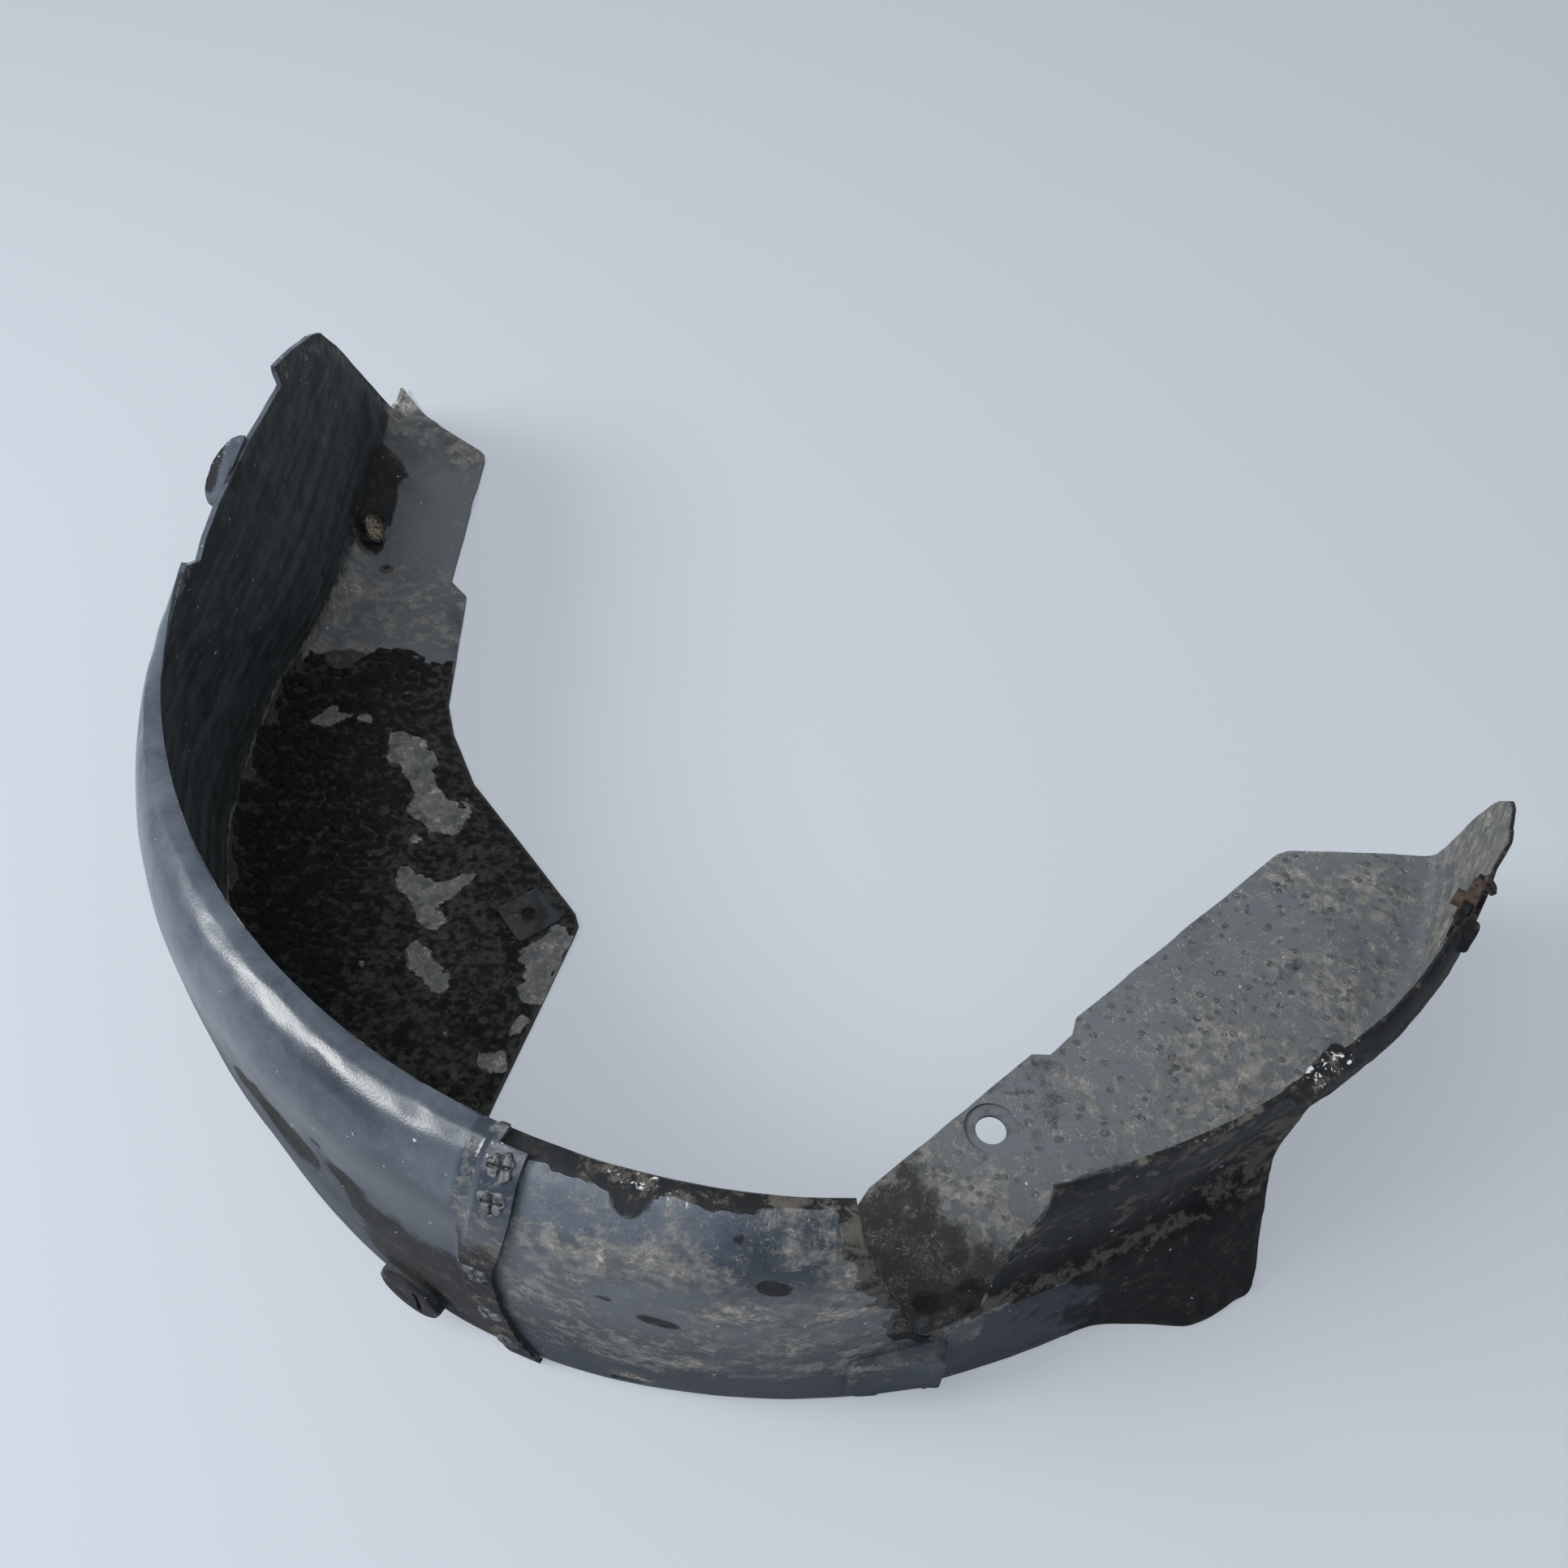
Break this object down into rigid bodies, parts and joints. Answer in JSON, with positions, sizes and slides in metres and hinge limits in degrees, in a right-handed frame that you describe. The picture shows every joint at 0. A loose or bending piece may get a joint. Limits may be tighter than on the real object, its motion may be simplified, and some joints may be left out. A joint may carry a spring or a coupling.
{
  "type": "wheel arch liner",
  "caption": "Used front wheel arch liner in black moulded plastic: a long and a short leg welded at a lap on the crown, with a torn rim notch, dried mud and a rusty clip nut.",
  "frame": {"origin": "centre of the bounding box in plan, on the plane that the inboard face rests on", "axes": "+Z along the wheel axis towards the outboard rim, +Y along the long leg away from the crown, +X towards the short leg"},
  "size_m": [0.7618, 0.8235, 0.2225],
  "materials": {
    "plastic": "black moulded polypropylene, lightly scratched, with a satin sheen outside",
    "dusty_plastic": "the same black plastic under dried brown-grey dust",
    "rusty_steel": "rusted spring steel"
  },
  "bodies": {
    "root": {"long_leg_moulding": "plastic", "short_leg_moulding": "dusty_plastic", "rim_clip_nut": "rusty_steel"}
  },
  "joints": []
}
